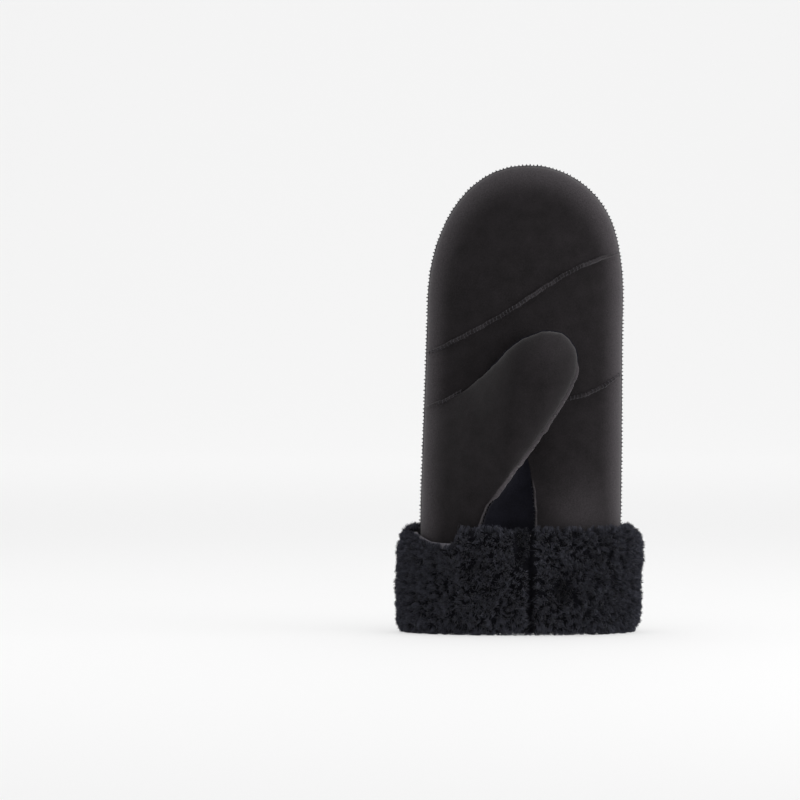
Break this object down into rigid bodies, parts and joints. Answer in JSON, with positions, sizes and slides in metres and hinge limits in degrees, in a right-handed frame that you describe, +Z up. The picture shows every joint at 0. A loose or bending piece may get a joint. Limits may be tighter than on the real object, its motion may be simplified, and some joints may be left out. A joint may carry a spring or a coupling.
{
  "type": "leather mitten",
  "caption": "Sheepskin mitten standing on its turned-back wool cuff, with slanting palm seams and a thumb folded over the palm.",
  "frame": {"origin": "middle of the space that the mitten takes, on the floor under its cuff", "axes": "+Z up along the hand to the finger tips, -Y out of the palm, -X towards the thumb's side"},
  "size_m": [0.1408, 0.0904, 0.2648],
  "materials": {
    "suede": "charcoal suede with a fine nap, no shine",
    "wool_pile": "dense clumped blue-black wool pile",
    "smooth_leather": "smooth blue-grey leather, half matt"
  },
  "bodies": {
    "root": {"back_middle": "suede", "back_thumb_side": "suede", "back_outer_side": "suede", "palm_tip": "suede", "palm_band": "suede", "palm_heel": "suede", "thumb_front": "suede", "thumb_inner": "suede", "cuff": "wool_pile", "cuff_patch": "smooth_leather"}
  },
  "joints": []
}
